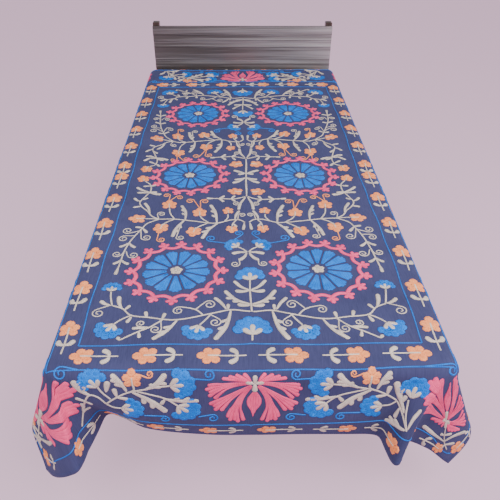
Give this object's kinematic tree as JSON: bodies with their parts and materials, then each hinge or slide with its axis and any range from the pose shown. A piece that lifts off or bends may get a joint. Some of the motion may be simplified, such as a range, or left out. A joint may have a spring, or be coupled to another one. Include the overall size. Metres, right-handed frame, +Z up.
{
  "type": "suzani embroidered bedspread on a single bed",
  "caption": "Cotton bedspread, navy with chain-stitch flowers and medallions, draped over a single bed with a ribbed headboard; soft folds and loose corner ears hang at the foot.",
  "frame": {"origin": "centre of the bounding box, at floor level", "axes": "+Z up, +Y from the foot of the bed to its headboard, +X to the right seen from the foot"},
  "size_m": [1.0842, 2.1562, 0.689],
  "materials": {
    "embroidered_cotton": "plain-woven navy cotton with chain-stitch embroidery",
    "mattress_ticking": "plain off-white cotton cover",
    "brown_timber": "stained satin timber",
    "dark_timber": "dark stained satin timber",
    "satin_metal": "ribbed satin metal"
  },
  "bodies": {
    "root": {"bedspread": "embroidered_cotton", "mattress": "mattress_ticking", "deck": "brown_timber", "headboard": "satin_metal", "post_left": "dark_timber", "post_right": "dark_timber", "leg_foot_left": "brown_timber", "leg_foot_right": "brown_timber", "leg_head_left": "brown_timber", "leg_head_right": "brown_timber"}
  },
  "joints": []
}
